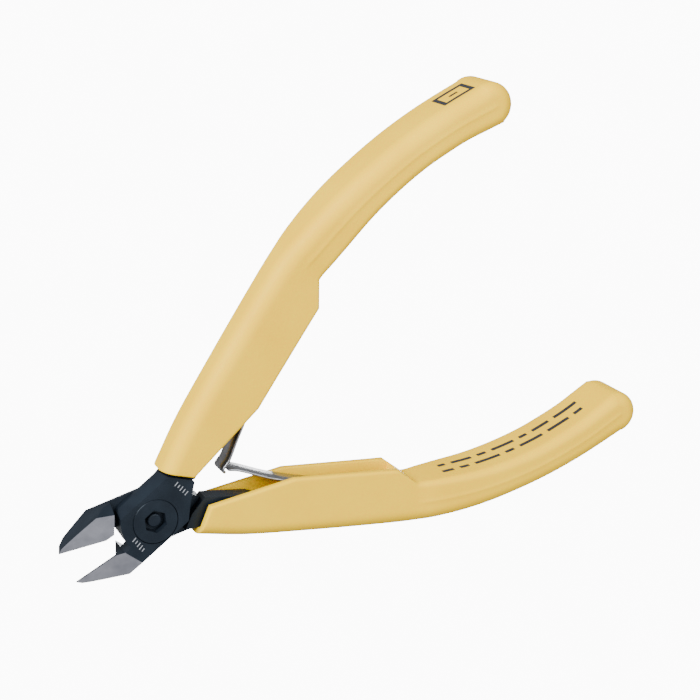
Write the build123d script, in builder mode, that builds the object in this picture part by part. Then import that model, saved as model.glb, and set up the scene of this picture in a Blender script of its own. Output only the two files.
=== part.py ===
from build123d import *
import os
from math import cos, sin, radians, tan

# Small diagonal cutting pliers with flush-ground jaws, two cushioned grips and a pair of
# interlocking leaf springs.  Millimetres.  The pivot axis is Z, the origin is on it at the
# middle of the lap joint, and +X runs back along the centre line between the handles.
# Every piece is drawn for a closed tool with its own handle on +Y, then swung open.

os.makedirs("parts", exist_ok=True)

# ---------------------------------------------------------------- driving dimensions
half_open = 10.8          # swing of each lever from closed to the open rest position
plate_t = 3.0             # thickness of each lapped half
lap_gap = 0.02            # clearance from the mid plane to each lapped face
bore_r = 2.50             # pivot bore in both levers
shank_r = 2.46            # pivot screw shank
head_r = 3.80             # flush round head of the screw and flush round nut
seat_r = 3.86             # counterbores for the head and the nut
seat_z = 1.60             # depth level of both counterbores
hex_af = 3.5              # socket across flats
pin_r = 1.18              # reduced end of the screw seen inside the socket
tip_x = -15.9             # jaw tip
edge_x = -8.4             # rear end of the cutting edges
flush_tilt = 16.0         # slope of the flush-ground faces
edge_land = 0.35          # height of the flat land behind each cutting edge
bevel = 32.0              # bevel behind the land, from the pivot axis
tang_w = 3.1              # tang width along the pivot axis
slot_w = 4.5              # grip channel width along the pivot axis
leaf_t = 0.45             # leaf spring thickness
leaf_w = 4.0              # leaf spring width
leaf_root = (40.5, 11.6)  # where each leaf starts to flex
grip_edge_r = 1.5         # rounding along the outer edges of the grips

# ---------------------------------------------------------------- outlines, tool closed
grip_outer = [(5.9, 5.6), (14.2, 9.65), (24.6, 13.7), (35.6, 17.7), (43.0, 20.1), (50.0, 21.5),
              (57.0, 22.25), (64.0, 22.4), (70.0, 22.2), (76.0, 21.6), (81.0, 20.8), (85.6, 19.9)]
grip_end = (89.4, 16.1)
grip_inner = [(85.6, 12.3), (82.5, 13.2), (79.0, 14.2), (75.0, 14.95), (70.0, 15.6), (64.0, 15.75),
              (57.9, 15.3), (51.6, 14.2), (45.3, 12.9)]
grip_rim = [(42.5, 9.15), (24.5, 2.8), (9.4, 1.3)]
grip_half_t = [(4.0, 3.6), (24.0, 3.5), (42.0, 3.85), (54.0, 5.2), (62.0, 5.6), (70.0, 5.7)]
grip_reach = 92.0
channel = [(3.0, 3.1), (9.2, 5.75), (16.8, 6.9), (17.0, 3.9), (18.0, 5.6), (26.0, 7.7),
           (31.5, 9.9), (40.2, 12.1), (40.2, 11.75), (42.7, 12.6), (43.0, 6.0), (20.0, -4.0),
           (3.0, -4.0)]

plate_outline = [(-6.95, -0.6), (-5.75, -0.45), (-5.7, 0.69), (-5.14, 2.59), (-4.4, 3.88),
                 (-3.6, 5.0), (-3.0, 5.25), (5.72, 5.25), (8.92, 1.0), (8.92, 0.6),
                 (6.13, -1.81), (3.8, -4.2), (2.9, -5.1), (-6.2, -5.1)]
jaw_outline = [(edge_x, -0.02), (tip_x, -0.02), (-15.35, -0.75), (-14.3, -1.4), (-12.5, -2.4),
               (-10.7, -3.35), (-8.9, -4.3), (-7.0, -5.0), (-5.65, -5.1), (-6.95, -0.6)]
neck_outline = [(9.28, 0.2), (17.0, 3.3), (17.0, 6.3), (9.5, 5.2), (4.55, 4.35), (6.4, 2.1)]
tang_outline = [(16.5, 3.1), (25.0, 8.9), (42.0, 14.3), (54.0, 17.7), (66.0, 18.8), (70.0, 19.0),
                (70.0, 20.8), (65.0, 20.8), (52.0, 19.9), (40.0, 16.5), (24.0, 11.2), (16.5, 6.2)]

leaf_body = [(42.6, 12.3), leaf_root, (37.5, 10.4), (31.5, 7.85), (25.9, 4.85), (21.3, 1.95)]
hook_end = [(18.7, 0.5), (16.5, -0.82), (15.3, -1.47), (14.4, -1.72), (13.85, -1.87), (13.55, -2.25),
            (13.7, -2.7)]
tongue_end = [(19.0, 0.25), (17.5, -0.92), (16.1, -1.95), (15.2, -2.45), (14.35, -2.8)]
rivet_at = (41.6, 11.95)
rivet_tilt = 18.4

flush_slope = tan(radians(flush_tilt))


def prism(points, low, high, mode=Mode.ADD):
    """Straight prism of a plan outline between two heights, in the current part."""
    with BuildSketch(Plane.XY.offset(low)) as plan:
        with BuildLine():
            Polyline(*points, close=True)
        make_face()
    extrude(plan.sketch, amount=high - low, mode=mode)


def flush_z(x):
    """Height of the flush-ground plane at x."""
    return plate_t + flush_slope * (x + 5.9)


def side_facets():
    """Sloping flats along both long sides of the head, front and back."""
    for front in (1, -1):
        for level, edge, reach in ((0.6, -5.1, -4.0), (0.8, 5.25, 4.5)):
            outside = 7.5 if edge > 0 else -7.5
            with BuildSketch(Plane.YZ.offset(-17.0)) as wedge:
                with BuildLine():
                    Polyline((edge, front * level), (reach, front * plate_t), (reach, front * 3.6),
                             (outside, front * 3.6), (outside, front * level), close=True)
                make_face()
            extrude(wedge.sketch, amount=25.9 if edge > 0 else 21.0, mode=Mode.SUBTRACT)


def make_lever(lap):
    """One lever for a closed tool, handle on +Y; lap is +1 for the front half, -1 for the rear."""
    low, high = (lap_gap, plate_t) if lap > 0 else (-plate_t, -lap_gap)
    with BuildPart() as lever:
        prism(plate_outline, low, high)
        prism(jaw_outline, -plate_t, plate_t)
        side_facets()
        prism(neck_outline, -tang_w / 2, tang_w / 2)
        prism(tang_outline, -tang_w / 2, tang_w / 2)
        # flush-ground face, only in front of the shoulder line
        with BuildPart(mode=Mode.PRIVATE) as ground:
            prism([(-6.95, -0.3), (-5.82, -4.6), (-5.65, -6.5), (-18.0, -6.5), (-18.0, 1.5),
                   (-6.95, 1.5)], -2.0, 5.0)
            with BuildSketch(Plane.XZ) as below:
                with BuildLine():
                    Polyline((-19.0, flush_z(-19.0)), (-4.0, flush_z(-4.0)), (-4.0, -4.0), (-19.0, -4.0),
                             close=True)
                make_face()
            extrude(below.sketch, amount=9.0, both=True, mode=Mode.SUBTRACT)
        add(ground.part, mode=Mode.SUBTRACT)
        # back of the jaw thins towards the tip
        with BuildSketch(Plane.XZ) as thin:
            with BuildLine():
                Polyline((-7.2, -plate_t), (-17.0, -1.75), (-17.0, -4.0), (-7.2, -4.0), close=True)
            make_face()
        extrude(thin.sketch, amount=9.0, both=True, mode=Mode.SUBTRACT)
        # bevel behind the land of the cutting edge
        start = (tip_x - 0.5, 0.0, flush_z(tip_x - 0.5) - edge_land)
        run = (cos(radians(flush_tilt)), 0, sin(radians(flush_tilt)))
        along = Plane(origin=start, x_dir=(0, 1, 0), z_dir=run)
        with BuildSketch(along) as groove:
            with BuildLine():
                Polyline((0.6, 0.0), (-0.02, 0.0), (-7.0 * tan(radians(bevel)), -7.0), (0.6, -7.0),
                         close=True)
            make_face()
        extrude(groove.sketch, amount=(edge_x + 0.1 - start[0]) / run[0], mode=Mode.SUBTRACT)
        # pivot bore and the flush seat on the outside
        Cylinder(bore_r, 8.0, mode=Mode.SUBTRACT)
        with Locations((0, 0, lap * (seat_z + 1.5))):
            Cylinder(seat_r, 3.0, mode=Mode.SUBTRACT)
        add(make_rivet(), mode=Mode.SUBTRACT)
    return lever.part


def make_rivet():
    """Round-headed rivet that holds the root of a leaf down in its grip channel."""
    seat = Plane(origin=(rivet_at[0], rivet_at[1], 0),
                 z_dir=(sin(radians(rivet_tilt)), -cos(radians(rivet_tilt)), 0))
    with BuildPart() as rivet:
        with BuildSketch(seat.offset(leaf_t / 2)) as crown:
            Circle(1.15)
        extrude(crown.sketch, amount=0.55)
        rim = rivet.edges().filter_by(GeomType.CIRCLE).sort_by(Axis.Y)[0]
        fillet(rim, radius=0.35)
        with BuildSketch(seat.offset(leaf_t / 2)) as shaft:
            Circle(0.65)
        extrude(shaft.sketch, amount=-4.2)
    return rivet.part


def make_leaf(tail):
    """One leaf spring, from its riveted root to its free end."""
    with BuildPart() as leaf:
        with BuildSketch(Plane.XY.offset(-leaf_w / 2)) as strip:
            with BuildLine() as path:
                Spline(*leaf_body, *tail)
            trace(path.line, line_width=leaf_t)
        extrude(strip.sketch, amount=leaf_w)
        add(make_rivet(), mode=Mode.SUBTRACT)
    return leaf.part


def make_grip():
    """One cushioned grip: an open channel in front, solid behind, flat oval end."""
    with BuildPart() as grip:
        with BuildSketch() as plan:
            with BuildLine():
                back = Spline(*grip_outer)
                ThreePointArc(back @ 1, grip_end, grip_inner[0])
                belly = Spline(*grip_inner)
                Polyline(belly @ 1, *grip_rim, grip_outer[0])
            make_face()
        extrude(plan.sketch, amount=7.0, both=True)
        with BuildSketch(Plane.XZ) as side:
            with BuildLine():
                top = Spline(*grip_half_t, tangents=[(1, 0), (1, 0)])
                under = Spline(*[(x, -z) for x, z in grip_half_t], tangents=[(1, 0), (1, 0)])
                Line(top @ 0, under @ 0)
                Polyline(top @ 1, (grip_reach, grip_half_t[-1][1]), (grip_reach, -grip_half_t[-1][1]),
                         under @ 1)
            make_face()
        extrude(side.sketch, amount=40.0, both=True, mode=Mode.INTERSECT)
        long_edges = grip.edges().filter_by(lambda e: abs(e.center().Z) > 1.5 and e.center().Y > 13.0)
        fillet(long_edges, radius=grip_edge_r)
        prism(channel, -slot_w / 2, slot_w / 2, mode=Mode.SUBTRACT)
        prism(neck_outline, -tang_w / 2, tang_w / 2, mode=Mode.SUBTRACT)
        prism(tang_outline, -tang_w / 2, tang_w / 2, mode=Mode.SUBTRACT)
        add(make_rivet(), mode=Mode.SUBTRACT)
    return grip.part


def upper(piece):
    """Swing an own-handed piece to the open upper position."""
    return piece.rotate(Axis.Z, half_open)


def lower(piece):
    """Mirror an own-handed piece across the centre plane and swing it to the open lower position."""
    return piece.mirror(Plane.XZ).rotate(Axis.Z, -half_open)


# ---------------------------------------------------------------- levers
with BuildPart() as upper_lever:
    add(upper(make_lever(1)))
upper_lever.part.label = "upper_lever"
export_step(upper_lever.part, "parts/upper_lever.step")

with BuildPart() as lower_lever:
    add(lower(make_lever(-1)))
lower_lever.part.label = "lower_lever"
export_step(lower_lever.part, "parts/lower_lever.step")

# ---------------------------------------------------------------- pivot
with BuildPart() as pivot_screw:
    with Locations((0, 0, -(plate_t + seat_z + lap_gap) / 2)):
        Cylinder(head_r, plate_t - seat_z - lap_gap)
    with Locations((0, 0, -0.06)):
        Cylinder(shank_r, 2 * seat_z + 0.08)
    with Locations((0, 0, seat_z + 0.4)):
        Cylinder(pin_r, 0.9)
    with BuildSketch(Plane.XY.offset(-plate_t)) as driver:
        Rectangle(5.2, 0.9)
    extrude(driver.sketch, amount=0.6, mode=Mode.SUBTRACT)
    fillet(pivot_screw.edges().sort_by(Axis.Z)[-1], radius=0.25)
pivot_screw.part.label = "pivot_screw"
export_step(pivot_screw.part, "parts/pivot_screw.step")

with BuildPart() as pivot_nut:
    with Locations((0, 0, (plate_t + seat_z + lap_gap) / 2)):
        Cylinder(head_r, plate_t - seat_z - lap_gap)
    with BuildSketch(Plane.XY.offset(plate_t)) as socket:
        RegularPolygon(hex_af / 2, 6, major_radius=False, rotation=half_open)
    extrude(socket.sketch, amount=-3.0, mode=Mode.SUBTRACT)
    chamfer(pivot_nut.edges().group_by(Axis.Z)[-1].filter_by(GeomType.CIRCLE), length=0.12)
pivot_nut.part.label = "pivot_nut"
export_step(pivot_nut.part, "parts/pivot_nut.step")

# ---------------------------------------------------------------- leaf springs and their rivets
with BuildPart() as upper_leaf_spring:
    add(upper(make_leaf(hook_end)))
upper_leaf_spring.part.label = "upper_leaf_spring"
export_step(upper_leaf_spring.part, "parts/upper_leaf_spring.step")

with BuildPart() as lower_leaf_spring:
    add(lower(make_leaf(tongue_end)))
lower_leaf_spring.part.label = "lower_leaf_spring"
export_step(lower_leaf_spring.part, "parts/lower_leaf_spring.step")

with BuildPart() as upper_spring_rivet:
    add(upper(make_rivet()))
upper_spring_rivet.part.label = "upper_spring_rivet"
export_step(upper_spring_rivet.part, "parts/upper_spring_rivet.step")

with BuildPart() as lower_spring_rivet:
    add(lower(make_rivet()))
lower_spring_rivet.part.label = "lower_spring_rivet"
export_step(lower_spring_rivet.part, "parts/lower_spring_rivet.step")

# ---------------------------------------------------------------- grips
with BuildPart() as upper_grip:
    add(upper(make_grip()))
upper_grip.part.label = "upper_grip"
export_step(upper_grip.part, "parts/upper_grip.step")

with BuildPart() as lower_grip:
    add(lower(make_grip()))
lower_grip.part.label = "lower_grip"
export_step(lower_grip.part, "parts/lower_grip.step")
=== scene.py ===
from math import cos, exp, pi, radians, sin, sqrt

import bmesh
import bpy
from mathutils import Matrix, Vector


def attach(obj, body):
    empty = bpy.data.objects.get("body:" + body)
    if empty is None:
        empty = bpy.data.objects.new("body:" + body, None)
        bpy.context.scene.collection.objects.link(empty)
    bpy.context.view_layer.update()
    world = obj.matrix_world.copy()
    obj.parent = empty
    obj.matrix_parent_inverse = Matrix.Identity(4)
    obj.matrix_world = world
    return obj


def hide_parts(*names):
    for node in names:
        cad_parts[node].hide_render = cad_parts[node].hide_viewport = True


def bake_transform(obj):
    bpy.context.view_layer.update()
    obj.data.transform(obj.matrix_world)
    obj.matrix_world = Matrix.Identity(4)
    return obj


# Flush cut pliers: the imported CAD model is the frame, and this script gives it its looks.
# Outlines are in millimetres, for a closed tool with its own handle on +Y, as in the CAD
# source; seat() swings a point open and into metres.

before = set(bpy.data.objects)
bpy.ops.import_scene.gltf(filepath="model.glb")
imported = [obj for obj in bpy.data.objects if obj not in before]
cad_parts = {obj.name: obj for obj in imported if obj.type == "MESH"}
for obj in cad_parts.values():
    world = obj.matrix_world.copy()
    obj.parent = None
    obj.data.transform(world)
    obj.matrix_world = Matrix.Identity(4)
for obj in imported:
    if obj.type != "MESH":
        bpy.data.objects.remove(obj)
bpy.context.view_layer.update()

MM = 0.001
HALF_OPEN = radians(10.8)
SLOT_HALF = 2.25           # half width of the grip channel
LEAF_HALF = 1.95           # half width of a leaf spring
LEAF_T = 0.42              # leaf spring thickness
FLUSH_TILT = radians(16.0)  # slope of the ground cutting faces
JAW_ROOT = -5.6            # the ground faces lie in front of this
PLATE_T = 3.0              # half thickness of the head

UPPER, LOWER = 1, -1
BODY = {UPPER: "upper_half", LOWER: "lower_half"}


def seat(x, y, z, side):
    """Own-handed millimetres to the row frame in metres, tool open."""
    return Vector((x * cos(HALF_OPEN) - y * sin(HALF_OPEN),
                   side * (x * sin(HALF_OPEN) + y * cos(HALF_OPEN)), z)) * MM


# ------------------------------------------------------------------ curves
def curve_through(points, t):
    """Catmull-Rom curve through the points, t from 0 to 1 along them."""
    span = max(0.0, min(t, 1.0)) * (len(points) - 1)
    i = min(int(span), len(points) - 2)
    f = span - i
    p1, p2 = Vector(points[i]), Vector(points[i + 1])
    p0 = Vector(points[i - 1]) if i > 0 else p1 * 2 - p2
    p3 = Vector(points[i + 2]) if i + 2 < len(points) else p2 * 2 - p1
    return 0.5 * (2 * p1 + (p2 - p0) * f + (2 * p0 - 5 * p1 + 4 * p2 - p3) * f ** 2
                  + (3 * p1 - p0 - 3 * p2 + p3) * f ** 3)


def height_at(points, x):
    """Straight-line value of a list of (x, value) pairs at x."""
    for (x0, v0), (x1, v1) in zip(points, points[1:]):
        if x <= x1:
            return v0 + (v1 - v0) * max(0.0, (x - x0) / (x1 - x0))
    return points[-1][1]


def smooth_at(points, x):
    """Smooth value of a list of (x, value) pairs at x."""
    lo, hi = 0.0, 1.0
    for _ in range(40):
        mid = (lo + hi) / 2
        if curve_through(points, mid).x < x:
            lo = mid
        else:
            hi = mid
    return curve_through(points, lo).y


# ------------------------------------------------------------------ grips
GRIP_OUTER = [(5.9, 5.6), (14.2, 9.65), (24.6, 13.7), (35.6, 17.7), (43.0, 20.1), (50.0, 21.5),
              (57.0, 22.25), (64.0, 22.4), (70.0, 22.2), (76.0, 21.6), (81.0, 20.8), (85.6, 19.9)]
GRIP_RIM = [(9.4, 1.3), (24.5, 2.8), (42.5, 9.15), (45.3, 12.95)]
GRIP_BELLY = [(45.3, 12.95), (51.6, 14.2), (57.9, 15.3), (64.0, 15.75), (70.0, 15.6), (75.0, 14.95),
              (79.0, 14.2), (82.5, 13.2), (85.6, 12.3)]
END_CENTRE, END_R = (85.6, 16.1), 3.8
SKEW = [(9.4, 3.4), (24.5, 4.2), (42.5, 3.9), (46.5, 2.8), (57.9, 1.3), (67.7, 0.0), (74.0, -0.6),
        (79.0, -0.9), (83.0, -0.5), (85.6, 0.0)]
HALF_T = [(5.0, 3.58), (24.0, 3.48), (42.0, 3.80), (48.0, 4.55), (54.0, 5.12), (62.0, 5.50),
          (70.0, 5.60), (78.0, 5.62), (96.0, 5.62)]
OUTER_R = [(5.0, 2.3), (45.0, 2.6), (62.0, 2.7), (80.0, 2.5), (96.0, 2.2)]
INNER_R = [(5.0, 0.42), (45.0, 0.42), (46.2, 0.9), (60.0, 1.3), (80.0, 1.7), (96.0, 2.2)]
FLOOR = [(3.0, 3.1), (9.2, 5.75), (16.9, 6.9), (17.0, 3.9), (18.4, 5.7), (26.0, 7.7),
         (31.5, 9.9), (40.1, 12.05), (40.2, 11.72), (43.2, 12.75)]
CHANNEL_END = 43.0
SEAM_FROM = 46.5           # the moulding seam starts behind the step

GRIP_START = 9.4
ACROSS = 26                # spans across each face of a grip
SEAM_AT, SEAM_W, SEAM_H = 0.48, 0.16, 0.07
RIM_CORNER = 0.28
WALL_LEVELS = range(1, 9)
END_TURNS = 16


def link(name, data):
    obj = bpy.data.objects.new(name, data)
    bpy.context.scene.collection.objects.link(obj)
    return obj


def roll(distance, radius):
    """How far a rolled edge drops at a distance from the outline."""
    if distance >= radius:
        return 0.0
    return radius - sqrt(max(0.0, radius ** 2 - (radius - distance) ** 2))


def inner_at(x):
    return height_at(GRIP_RIM, x) if x < GRIP_BELLY[0][0] else smooth_at(GRIP_BELLY, x)


def grip_section(x):
    """Inner and outer ends of the section whose inner end is at x."""
    back = x - height_at(SKEW, x)
    return Vector((x, inner_at(x))), Vector((back, smooth_at(GRIP_OUTER, back)))


def floor_share(inner, outer):
    """How far along a section the channel floor lies."""
    for i in range(200):
        u = i / 200
        p = inner.lerp(outer, u)
        if p.y >= height_at(FLOOR, p.x):
            return u
    return 0.5


def two_faces(inner, outer, surface):
    """Points over the front face and back over the rear face, dense at the seam."""
    shares = [0.5 - 0.5 * cos(pi * k / ACROSS) for k in range(ACROSS + 1)]
    shares[ACROSS // 2 - 1:ACROSS // 2 + 2] = [0.455, SEAM_AT, 0.505]
    front = [(inner.lerp(outer, u), surface(u)) for u in shares]
    return front + [(inner.lerp(outer, u), -surface(u)) for u in reversed(shares)]


def section_ring(inner, outer, half_t, outer_r, inner_r, depth, end_gap, seam):
    """Closed ring of points round one section of a grip.

    depth is the channel depth as a share of the section, end_gap the distance left to the
    rounded end of the grip, and seam the height of the moulding seam.
    """
    long = (outer - inner).length

    def surface(u):
        d_out = min((1 - u) * long, end_gap)
        d_in = min(u * long, end_gap) if inner_r > 0.6 else u * long
        z = half_t - roll(d_out, outer_r) - roll(d_in, inner_r)
        if 0.40 < u < 0.56:
            z += seam * exp(-((u - SEAM_AT) * long / SEAM_W) ** 2)
        return z

    ring = two_faces(inner, outer, surface)
    # inner side, from the rear rim round the channel to the front rim
    edge = surface(0.0)
    wall = []
    if depth > 0:
        for a in (0, 30, 60, 90):
            drop = RIM_CORNER * (1 - cos(radians(a)))
            wall.append((drop / long, SLOT_HALF + RIM_CORNER * (1 - sin(radians(a)))))
        wall.append((depth * 0.5, SLOT_HALF))
        wall.append((depth - 0.4 / long, SLOT_HALF))
        wall.append((depth - 0.1 / long, SLOT_HALF - 0.1))
        wall.append((depth, SLOT_HALF - 0.4))
        middle = [(depth, 0.0)]
    else:
        wall = [(0.0, edge * (1 - 0.11 * k)) for k in WALL_LEVELS]
        middle = [(0.0, 0.0)]
    path = [(u, -z) for u, z in wall] + middle + [(u, z) for u, z in reversed(wall)]
    for u, z in path:
        ring.append((inner.lerp(outer, u), z))
    return ring


def grip_stations():
    """Places along a grip where a section is drawn, denser where its shape changes."""
    places = [GRIP_START, 9.46, 9.58, 9.8]
    x = 10.5
    while x < 20.2:
        places.append(x)
        x += 0.9
    while x < 42.4:
        places.append(x)
        x += 1.1
    places += [24.5, 42.5, CHANNEL_END - 0.02, CHANNEL_END + 0.02, 43.6, 44.3, 44.9, 45.3,
               45.7, 46.1, 46.6, 47.2]
    x = 48.0
    while x < 85.2:
        places.append(x)
        x += 1.1
    places.append(END_CENTRE[0])
    return sorted(places)


def skin(bm, rings):
    """Closed tube over a row of rings."""
    for a, b in zip(rings, rings[1:]):
        for i in range(len(a)):
            j = (i + 1) % len(a)
            bm.faces.new((a[i], a[j], b[j], b[i]))
    bm.faces.new(list(reversed(rings[0])))
    bm.faces.new(rings[-1])


def make_grip(side, name):
    bm = bmesh.new()
    rings = []

    def add_ring(ring):
        rings.append([bm.verts.new(seat(p.x, p.y, z, side)) for p, z in ring])

    for x in grip_stations():
        inner, outer = grip_section(x)
        half_t = smooth_at(HALF_T, (x + outer.x) / 2)
        half_t -= roll(x - GRIP_START, 0.35) * 0.6
        depth = floor_share(inner, outer) if x < CHANNEL_END else 0.0
        seam = SEAM_H if x > SEAM_FROM else 0.0
        end_gap = abs(END_CENTRE[0] - x) + END_R
        add_ring(section_ring(inner, outer, half_t, height_at(OUTER_R, x), height_at(INNER_R, x),
                              depth, end_gap, seam))
    for k in range(1, END_TURNS + 1):
        a = pi / 2 * k / END_TURNS
        reach = END_R * sin(a)
        half = max(END_R * cos(a), 0.002)
        inner = Vector((END_CENTRE[0] + reach, END_CENTRE[1] - half))
        outer = Vector((END_CENTRE[0] + reach, END_CENTRE[1] + half))
        add_ring(end_ring(inner, outer, reach))
    skin(bm, rings)
    bmesh.ops.remove_doubles(bm, verts=bm.verts, dist=1e-7)
    bmesh.ops.recalc_face_normals(bm, faces=bm.faces)
    return finish_mesh(bm, name, 38)


def end_ring(inner, outer, reach):
    """Ring of a section inside the rounded end, where the edge roll follows the end arc."""
    long = (outer - inner).length
    half_t, radius = HALF_T[-1][1], OUTER_R[-1][1]

    def surface(u):
        away = sqrt(reach ** 2 + ((u - 0.5) * long) ** 2)
        return half_t - roll(max(0.0, END_R - away), radius)

    ring = two_faces(inner, outer, surface)
    edge = surface(0.0)
    levels = [edge * (1 - 0.11 * k) for k in WALL_LEVELS]
    for z in [-v for v in levels] + [0.0] + list(reversed(levels)):
        ring.append((inner, z))
    return ring


def finish_mesh(bm, name, sharp_deg):
    mesh = bpy.data.meshes.new(name)
    bm.to_mesh(mesh)
    bm.free()
    for poly in mesh.polygons:
        poly.use_smooth = True
    mesh.set_sharp_from_angle(angle=radians(sharp_deg))
    return link(name, mesh)


# ------------------------------------------------------------------ leaf springs
LEAF_STEPS, LEAF_EDGE = 90, 0.10
LEAF_BODY_LINE = [(42.6, 12.3), (40.5, 11.6), (37.5, 10.4), (31.5, 7.85), (25.9, 4.85), (21.3, 1.95)]
HOOK = [(18.7, 0.5), (16.5, -0.82), (15.3, -1.47), (14.4, -1.72), (13.85, -1.87), (13.55, -2.25),
        (13.7, -2.7)]
TONGUE = [(19.0, 0.25), (17.5, -0.92), (16.1, -1.95), (15.2, -2.45), (14.35, -2.8)]


def make_leaf(side, tail, name):
    """Flat strip swept along its side view, with softened long edges."""
    line = LEAF_BODY_LINE + tail
    profile = []
    for sz, sy in ((1, 1), (1, -1), (-1, -1), (-1, 1)):
        corner = [(sz * LEAF_HALF, sy * (LEAF_T / 2 - LEAF_EDGE)),
                  (sz * (LEAF_HALF - LEAF_EDGE), sy * LEAF_T / 2)]
        profile += corner if sz * sy < 0 else list(reversed(corner))
    bm = bmesh.new()
    rings = []
    for k in range(LEAF_STEPS + 1):
        t = k / LEAF_STEPS
        here = curve_through(line, t)
        ahead = curve_through(line, min(1.0, t + 0.004)) - curve_through(line, max(0.0, t - 0.004))
        normal = Vector((-ahead.y, ahead.x)).normalized()
        narrow = 1.0 - 0.10 * max(0.0, (t - 0.9) / 0.1) ** 2
        ring = []
        for z, off in profile:
            p = here + normal * off
            ring.append(bm.verts.new(seat(p.x, p.y, z * narrow, side)))
        rings.append(ring)
    skin(bm, rings)
    bmesh.ops.recalc_face_normals(bm, faces=bm.faces)
    return finish_mesh(bm, name, 50)


# ------------------------------------------------------------------ printed marks
PRINT_LIFT, TICK_LIFT = 0.03, 0.012
PRINT_CELL = 0.4


def face_strip(x0, x1, z0, z1, face, lift, side):
    """Grid of points laid on a grip face between two stations and two heights."""
    cells = max(2, int((x1 - x0) / PRINT_CELL))
    rows = []
    for i in range(cells + 1):
        x = x0 + (x1 - x0) * i / cells
        rows.append([seat(x, face(x) + lift, z0 + (z1 - z0) * j / 3, side) for j in range(4)])
    return rows


def plate_tick(x, y, long, wide, turn):
    """Small stroke lying on the front of the plate."""
    along = Vector((cos(turn), sin(turn)))
    across = Vector((-sin(turn), cos(turn)))
    rows = []
    for u in (-0.5, 0.5):
        row = []
        for v in (-0.5, 0.5):
            p = Vector((x, y)) + along * (u * long) + across * (v * wide)
            row.append(seat(p.x, p.y, PLATE_T + TICK_LIFT, UPPER))
        rows.append(row)
    return rows


def make_print(grids, name):
    bm = bmesh.new()
    for rows in grids:
        points = [[bm.verts.new(p) for p in row] for row in rows]
        for a, b in zip(points, points[1:]):
            for j in range(len(a) - 1):
                bm.faces.new((a[j], b[j], b[j + 1], a[j + 1]))
    return finish_mesh(bm, name, 60)


# ------------------------------------------------------------------ materials
def new_material(name):
    mat = bpy.data.materials.new(name)
    mat.use_nodes = True
    nodes, links = mat.node_tree.nodes, mat.node_tree.links
    return mat, nodes, links, nodes["Principled BSDF"]


def noise(nodes, links, coords, scale, detail, rough=0.5):
    node = nodes.new("ShaderNodeTexNoise")
    node.inputs["Scale"].default_value = scale
    node.inputs["Detail"].default_value = detail
    node.inputs["Roughness"].default_value = rough
    links.new(coords, node.inputs["Vector"])
    return node


def ramp(nodes, links, source, stops):
    node = nodes.new("ShaderNodeValToRGB")
    node.color_ramp.elements[0].position, node.color_ramp.elements[0].color = stops[0]
    node.color_ramp.elements[1].position, node.color_ramp.elements[1].color = stops[-1]
    for place, colour in stops[1:-1]:
        node.color_ramp.elements.new(place).color = colour
    links.new(source, node.inputs["Fac"])
    return node


def spread(nodes, links, source, low, high):
    node = nodes.new("ShaderNodeMapRange")
    node.inputs["To Min"].default_value = low
    node.inputs["To Max"].default_value = high
    links.new(source, node.inputs["Value"])
    return node


def bump(nodes, links, shader, heights, strength, distance):
    """Chain of bumps from (socket, share) pairs."""
    previous = None
    for socket, share in heights:
        node = nodes.new("ShaderNodeBump")
        node.inputs["Strength"].default_value = strength * share
        node.inputs["Distance"].default_value = distance
        links.new(socket, node.inputs["Height"])
        if previous:
            links.new(previous.outputs["Normal"], node.inputs["Normal"])
        previous = node
    links.new(previous.outputs["Normal"], shader.inputs["Normal"])


def grip_plastic():
    mat, nodes, links, shader = new_material("grip_plastic")
    coords = nodes.new("ShaderNodeTexCoord").outputs["Object"]
    broad = noise(nodes, links, coords, 90.0, 3.0)
    grain = noise(nodes, links, coords, 2600.0, 4.0, 0.6)
    colour = ramp(nodes, links, broad.outputs["Fac"],
                  [(0.30, (0.850, 0.510, 0.004, 1)), (0.70, (0.890, 0.560, 0.009, 1))])
    links.new(colour.outputs["Color"], shader.inputs["Base Color"])
    rough = spread(nodes, links, grain.outputs["Fac"], 0.45, 0.65)
    links.new(rough.outputs["Result"], shader.inputs["Roughness"])
    shader.inputs["Specular IOR Level"].default_value = 0.2
    shader.inputs["Subsurface Weight"].default_value = 0.15
    shader.inputs["Subsurface Radius"].default_value = (1.0, 0.55, 0.10)
    shader.inputs["Subsurface Scale"].default_value = 0.0016
    shader.inputs["IOR"].default_value = 1.46
    bump(nodes, links, shader,
         [(grain.outputs["Fac"], 1.0), (broad.outputs["Fac"], 0.25)], 0.22, 0.00012)
    return mat


def blued_steel():
    mat, nodes, links, shader = new_material("blued_steel")
    coords = nodes.new("ShaderNodeTexCoord").outputs["Object"]
    cloud = noise(nodes, links, coords, 260.0, 4.0)
    grain = noise(nodes, links, coords, 5200.0, 3.0, 0.6)
    colour = ramp(nodes, links, cloud.outputs["Fac"],
                  [(0.30, (0.006, 0.009, 0.014, 1)), (0.72, (0.011, 0.016, 0.024, 1))])
    links.new(colour.outputs["Color"], shader.inputs["Base Color"])
    rough = spread(nodes, links, grain.outputs["Fac"], 0.30, 0.46)
    links.new(rough.outputs["Result"], shader.inputs["Roughness"])
    shader.inputs["Metallic"].default_value = 0.2
    shader.inputs["Specular IOR Level"].default_value = 0.22
    shader.inputs["Specular Tint"].default_value = (0.80, 0.92, 1.0, 1)
    bump(nodes, links, shader, [(grain.outputs["Fac"], 1.0), (cloud.outputs["Fac"], 0.3)], 0.18, 0.00008)
    return mat


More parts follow.
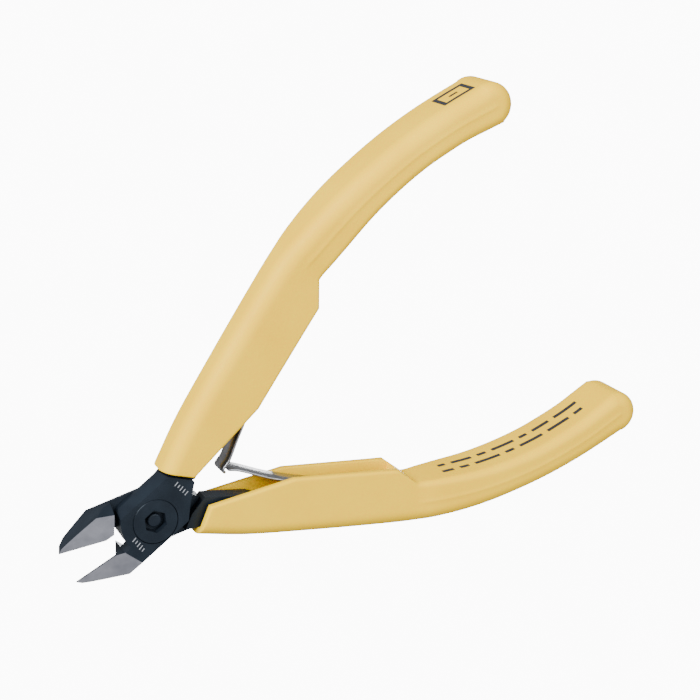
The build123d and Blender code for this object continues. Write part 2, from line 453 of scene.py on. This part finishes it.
def ground_steel():
    mat, nodes, links, shader = new_material("ground_steel")
    coords = nodes.new("ShaderNodeTexCoord").outputs["Object"]
    mapping = nodes.new("ShaderNodeMapping")
    mapping.inputs["Scale"].default_value = (0.06, 1.0, 0.06)
    links.new(coords, mapping.inputs["Vector"])
    lines = noise(nodes, links, mapping.outputs["Vector"], 9000.0, 3.0, 0.7)
    cloud = noise(nodes, links, coords, 380.0, 2.0)
    colour = ramp(nodes, links, cloud.outputs["Fac"],
                  [(0.3, (0.30, 0.31, 0.36, 1)), (0.7, (0.42, 0.43, 0.49, 1))])
    links.new(colour.outputs["Color"], shader.inputs["Base Color"])
    rough = spread(nodes, links, lines.outputs["Fac"], 0.28, 0.5)
    links.new(rough.outputs["Result"], shader.inputs["Roughness"])
    shader.inputs["Metallic"].default_value = 0.85
    bump(nodes, links, shader, [(lines.outputs["Fac"], 1.0)], 0.25, 0.00003)
    return mat


def spring_steel():
    mat, nodes, links, shader = new_material("spring_steel")
    coords = nodes.new("ShaderNodeTexCoord").outputs["Object"]
    mapping = nodes.new("ShaderNodeMapping")
    mapping.inputs["Scale"].default_value = (0.08, 0.08, 1.0)
    links.new(coords, mapping.inputs["Vector"])
    lines = noise(nodes, links, mapping.outputs["Vector"], 6000.0, 3.0, 0.6)
    cloud = noise(nodes, links, coords, 500.0, 3.0)
    colour = ramp(nodes, links, cloud.outputs["Fac"],
                  [(0.3, (0.22, 0.23, 0.25, 1)), (0.7, (0.36, 0.37, 0.40, 1))])
    links.new(colour.outputs["Color"], shader.inputs["Base Color"])
    rough = spread(nodes, links, lines.outputs["Fac"], 0.22, 0.42)
    links.new(rough.outputs["Result"], shader.inputs["Roughness"])
    shader.inputs["Metallic"].default_value = 0.95
    bump(nodes, links, shader, [(lines.outputs["Fac"], 1.0)], 0.2, 0.00003)
    return mat


def print_ink(name, rgb):
    mat, nodes, links, shader = new_material(name)
    coords = nodes.new("ShaderNodeTexCoord").outputs["Object"]
    wear = noise(nodes, links, coords, 1800.0, 4.0, 0.6)
    dark = (*rgb, 1)
    light = (*[c * 1.6 + 0.004 for c in rgb], 1)
    colour = ramp(nodes, links, wear.outputs["Fac"], [(0.35, dark), (0.75, light)])
    links.new(colour.outputs["Color"], shader.inputs["Base Color"])
    rough = spread(nodes, links, wear.outputs["Fac"], 0.45, 0.7)
    links.new(rough.outputs["Result"], shader.inputs["Roughness"])
    bump(nodes, links, shader, [(wear.outputs["Fac"], 1.0)], 0.1, 0.00005)
    return mat


def studio_backdrop():
    """Even white behind the tool, bright enough to need no light of its own."""
    mat, nodes, links, shader = new_material("studio_backdrop")
    coords = nodes.new("ShaderNodeTexCoord").outputs["Object"]
    tone = noise(nodes, links, coords, 6.0, 2.0)
    colour = ramp(nodes, links, tone.outputs["Fac"],
                  [(0.3, (0.90, 0.90, 0.90, 1)), (0.7, (0.92, 0.92, 0.92, 1))])
    links.new(colour.outputs["Color"], shader.inputs["Base Color"])
    shader.inputs["Roughness"].default_value = 0.8
    links.new(colour.outputs["Color"], shader.inputs["Emission Color"])
    shader.inputs["Emission Strength"].default_value = 12.0
    return mat


plastic = grip_plastic()
blued = blued_steel()
ground = ground_steel()
sprung = spring_steel()
ink = print_ink("dark_print", (0.012, 0.013, 0.017))
pale_ink = print_ink("pale_print", (0.20, 0.21, 0.23))


def paint(obj, *materials):
    obj.data.materials.clear()
    for mat in materials:
        obj.data.materials.append(mat)


# ------------------------------------------------------------------ the head, from the CAD
def paint_lever(node):
    """Blued all over, bright where the cutting faces are ground."""
    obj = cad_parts[node]
    paint(obj, blued, ground)
    flush = Vector((-sin(FLUSH_TILT), 0, cos(FLUSH_TILT)))
    for poly in obj.data.polygons:
        forward = poly.center.x < JAW_ROOT * MM
        poly.material_index = 1 if forward and poly.normal.dot(flush) > 0.995 else 0


for lever in ("upper_lever", "lower_lever"):
    paint_lever(lever)
for node in ("pivot_screw", "pivot_nut"):
    paint(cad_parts[node], blued)
for node in ("upper_spring_rivet", "lower_spring_rivet"):
    paint(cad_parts[node], sprung)

# ------------------------------------------------------------------ grips and springs
BEND_FROM, BEND_TO = (39.5, 11.2), (27.0, 5.5)

for side, word in ((UPPER, "upper"), (LOWER, "lower")):
    grip = make_grip(side, word + "_grip_shell")
    paint(grip, plastic)
    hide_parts(word + "_grip")
    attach(grip, BODY[side])
    leaf = make_leaf(side, HOOK if side == UPPER else TONGUE, word + "_leaf_strip")
    paint(leaf, sprung)
    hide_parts(word + "_leaf_spring")
    seat(*BEND_FROM, 0, side)
    seat(*BEND_TO, 0, side)
    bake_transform(leaf)

# ------------------------------------------------------------------ plain printed strokes
TOP_ROW, LOW_ROW = (-1.75, -0.85), (0.95, 1.85)
TOP_STROKES = [(51.6, 53.0), (54.2, 58.2), (59.4, 61.2), (62.4, 67.0), (68.2, 69.8),
               (71.0, 74.6), (75.8, 80.8)]
LOW_STROKES = [(51.2, 53.4), (54.6, 56.4), (57.6, 62.6), (63.8, 65.6), (66.8, 71.6),
               (72.8, 77.4), (78.6, 80.4)]
FRAME_X, FRAME_Z, FRAME_W = (79.3, 85.3), (-1.7, 3.1), 0.75
TICK_TURN, TICK_W, TICK_STEP = radians(10), 0.16, 0.62
# start, drift along x and lengths of each row of ticks on the plate
TICK_ROWS = [((6.5, 2.6), 0.06, (0.85, 0.6, 0.85, 0.7, 0.85)),
             ((-4.45, 0.2), -0.02, (0.85, 0.6, 0.85, 0.85, 0.6))]


def inner_face(x):
    return smooth_at(GRIP_BELLY, x)


def outer_face(x):
    return smooth_at(GRIP_OUTER, x)


strokes = [face_strip(x0, x1, *row, inner_face, -PRINT_LIFT, LOWER)
           for row, runs in ((TOP_ROW, TOP_STROKES), (LOW_ROW, LOW_STROKES)) for x0, x1 in runs]
(fx0, fx1), (fz0, fz1) = FRAME_X, FRAME_Z
frame_runs = [(fx0, fx1, fz0, fz0 + FRAME_W), (fx0, fx1, fz1 - FRAME_W, fz1),
              (fx0, fx0 + FRAME_W, fz0 + FRAME_W, fz1 - FRAME_W),
              (fx1 - FRAME_W, fx1, fz0 + FRAME_W, fz1 - FRAME_W),
              (fx0 + 2.2, fx1 - 2.2, fz0 + 2.1, fz1 - 2.1)]
badge = [face_strip(*run, outer_face, PRINT_LIFT, UPPER) for run in frame_runs]
ticks = [plate_tick(tx + drift * k, ty - TICK_STEP * k, long, TICK_W, TICK_TURN)
         for (tx, ty), drift, longs in TICK_ROWS for k, long in enumerate(longs)]
for grids, name, ink_used, slot, side in ((strokes, "inner_strokes", ink, "grip_plastic", LOWER),
                                          (badge, "outer_frame_print", ink, "grip_plastic", UPPER),
                                          (ticks, "plate_ticks", pale_ink, "head_steel", UPPER)):
    mark = make_print(grids, name)
    paint(mark, ink_used)
    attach(mark, BODY[side])

# ------------------------------------------------------------------ stage, light and camera
CAMERA_PLACE = Vector((-20.94, 128.52, 240.28)) * MM
CAMERA_AIM = Vector((42.53, 5.80, 0.0)) * MM
BACKDROP_GAP, BACKDROP_HALF = 4.0, 1.05

back = (CAMERA_PLACE - CAMERA_AIM).normalized()
up = Vector((0.5235, 0.8068, -0.2738))
right = up.cross(back).normalized()
up = back.cross(right)

middle = CAMERA_AIM - back * BACKDROP_GAP
mesh = bpy.data.meshes.new("backdrop")
corners = ((-1, -1), (1, -1), (1, 1), (-1, 1))
mesh.from_pydata([middle + (right * i + up * j) * BACKDROP_HALF for i, j in corners],
                 [], [(0, 1, 2, 3)])
backdrop = link("backdrop", mesh)
paint(backdrop, studio_backdrop())

world = bpy.data.worlds.new("studio")
bpy.context.scene.world = world
world.use_nodes = True
world.node_tree.nodes["Background"].inputs["Color"].default_value = (1.0, 1.0, 1.0, 1)
world.node_tree.nodes["Background"].inputs["Strength"].default_value = 0.42


def soft_light(name, place, target, size, power):
    data = bpy.data.lights.new(name, "AREA")
    data.shape = "DISK"
    data.size = size
    data.energy = power
    lamp = link(name, data)
    lamp.location = place
    lamp.rotation_mode = "QUATERNION"
    lamp.rotation_quaternion = (Vector(place) - Vector(target)).to_track_quat("Z", "Y")
    return lamp


MIDDLE = Vector((0.042, 0.0, 0.0))
soft_light("key", (-0.22, 0.62, 0.30), MIDDLE, 0.45, 13.0)
soft_light("fill", (0.25, 0.05, 0.65), MIDDLE, 0.60, 4.5)

camera_data = bpy.data.cameras.new("camera")
camera = link("camera", camera_data)
bpy.context.scene.camera = camera
camera_data.sensor_width = 36.0
camera_data.lens = 85.12
camera_data.clip_start = 0.01
camera_data.clip_end = 10.0
camera.location = CAMERA_PLACE
camera.rotation_mode = "QUATERNION"
camera.rotation_quaternion = Matrix((right, up, back)).transposed().to_quaternion()
